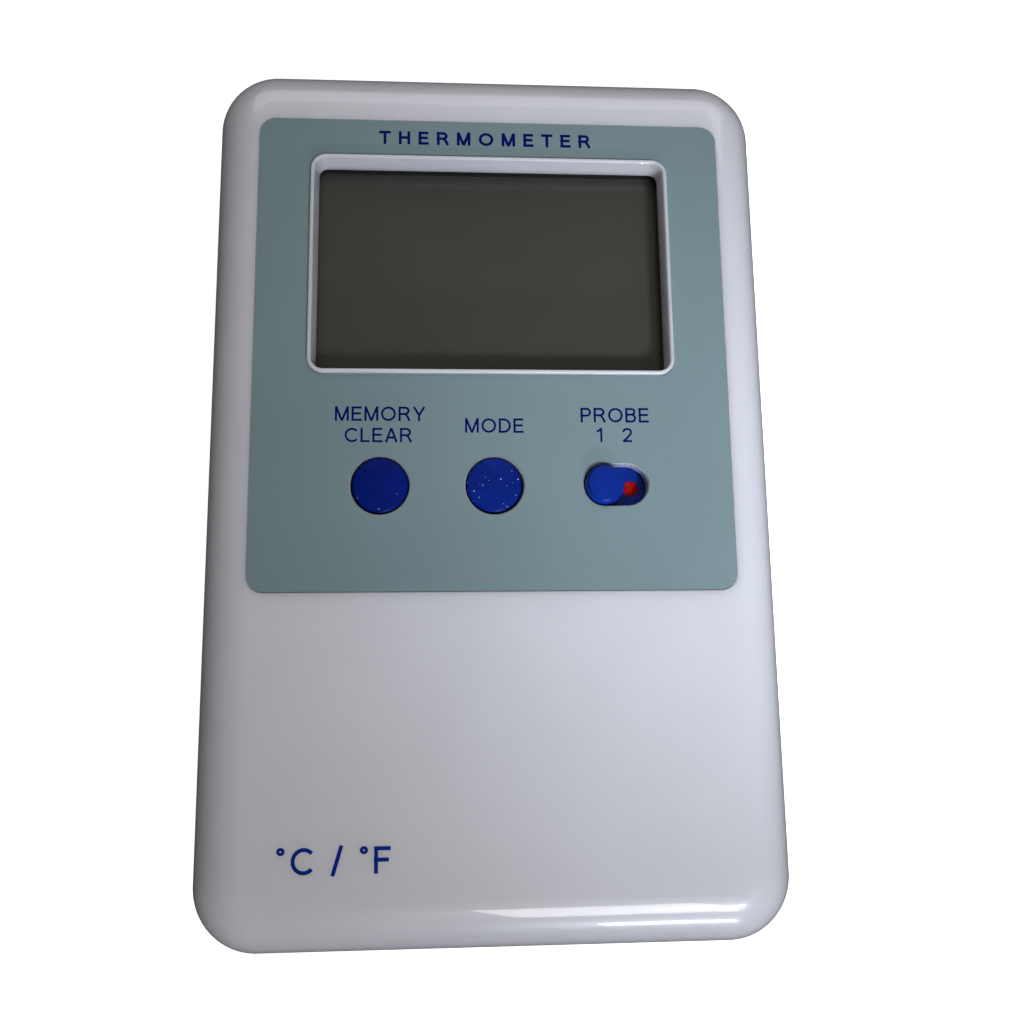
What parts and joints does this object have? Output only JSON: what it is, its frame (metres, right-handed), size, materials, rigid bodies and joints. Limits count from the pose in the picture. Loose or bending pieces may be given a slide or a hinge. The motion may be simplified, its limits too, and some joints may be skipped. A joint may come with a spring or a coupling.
{
  "type": "digital thermometer",
  "caption": "Pocket digital thermometer with a display window, push buttons, a probe slide selector, probe sockets, a battery door and a fold-out stand.",
  "frame": {"origin": "under the middle of the case, in the plane of its back", "axes": "+Z out of the front face, +Y towards the top edge with the probe sockets, +X to the right as the display is read"},
  "size_m": [0.069, 0.108, 0.0195],
  "materials": {
    "case_white": "glossy moulded ABS, faint bluish white",
    "overlay_film": "fine matte printed film, gray-green",
    "window_clear": "clear polished acrylic pane",
    "lcd_film": "dark olive polarizing film, satin",
    "lcd_glass": "thin display glass",
    "frame_black": "moulded black, satin",
    "zebra_rubber": "layered conductive rubber, matt",
    "board_green": "green solder mask over glass fibre",
    "epoxy_black": "black epoxy and moulded nylon",
    "tin_steel": "tinned pressed steel",
    "capacitor_tan": "fired ceramic body",
    "button_blue": "deep blue moulded plastic, semi-gloss with fine texture",
    "selector_blue": "bright deep blue moulded plastic, semi-gloss",
    "dot_red": "glossy red enamel",
    "socket_black": "black moulded nylon",
    "cell_sleeve": "shrunk plain sleeve, gloss",
    "contact_nickel": "nickel-plated spring strip",
    "lead_red": "red insulated wire",
    "lead_black": "black insulated wire",
    "foam_gray": "soft closed-cell foam",
    "magnet_nickel": "nickel-plated magnet face",
    "label_white": "blank satin sticker",
    "screw_steel": "zinc-plated steel"
  },
  "bodies": {
    "case": {"front_case": "case_white", "rear_case": "case_white", "overlay_label": "overlay_film", "display_window": "window_clear", "lcd_polarizer": "lcd_film", "lcd_front_glass": "lcd_glass", "lcd_rear_glass": "lcd_glass", "lcd_reflector": "lcd_film", "lcd_frame": "frame_black", "zebra_strip": "zebra_rubber", "circuit_board": "board_green", "controller_blob": "epoxy_black", "timing_crystal": "tin_steel", "chip_capacitors": "capacitor_tan", "chip_resistors": "epoxy_black", "key_switch_housings": "epoxy_black", "key_switch_covers": "tin_steel", "memory_switch_dome": "tin_steel", "mode_switch_dome": "tin_steel", "slide_switch_shell": "tin_steel", "slide_switch_pins": "tin_steel", "probe_socket_one": "socket_black", "probe_socket_two": "socket_black", "socket_terminals": "tin_steel", "battery_cell": "cell_sleeve", "battery_plus_contact": "contact_nickel", "battery_spring_contact": "contact_nickel", "battery_lead_plus": "lead_red", "battery_lead_minus": "lead_black", "rear_magnets": "magnet_nickel", "rear_label": "label_white", "case_screws": "screw_steel", "board_screws": "screw_steel"},
    "memory_key": {"memory_clear_button": "button_blue", "memory_switch_plunger": "epoxy_black"},
    "mode_key": {"mode_button": "button_blue", "mode_switch_plunger": "epoxy_black"},
    "selector": {"probe_selector": "selector_blue", "selector_dot": "dot_red", "slide_switch_lever": "epoxy_black"},
    "door": {"battery_door": "case_white", "battery_foam": "foam_gray"},
    "stand": {"stand": "case_white"}
  },
  "joints": [
    {"name": "memory_clear_press", "type": "slide", "parent": "case", "child": "memory_key", "axis": [0, 0, -1], "range_m": [0, 0.0004], "stiffness_N_per_m": 800, "deforming": ["memory_switch_dome"]},
    {"name": "mode_press", "type": "slide", "parent": "case", "child": "mode_key", "axis": [0, 0, -1], "range_m": [0, 0.0004], "stiffness_N_per_m": 800, "deforming": ["mode_switch_dome"]},
    {"name": "probe_select", "type": "slide", "parent": "case", "child": "selector", "axis": [1, 0, 0], "range_m": [0, 0.0028]},
    {"name": "battery_door_hinge", "type": "hinge", "parent": "case", "child": "door", "pos_m": [0, -0.01965, 0.0011], "axis": [1, 0, 0], "range_deg": [0, 75]},
    {"name": "stand_hinge", "type": "hinge", "parent": "case", "child": "stand", "pos_m": [0, 0.002, 0.0013], "axis": [1, 0, 0], "range_deg": [0, 60]}
  ]
}
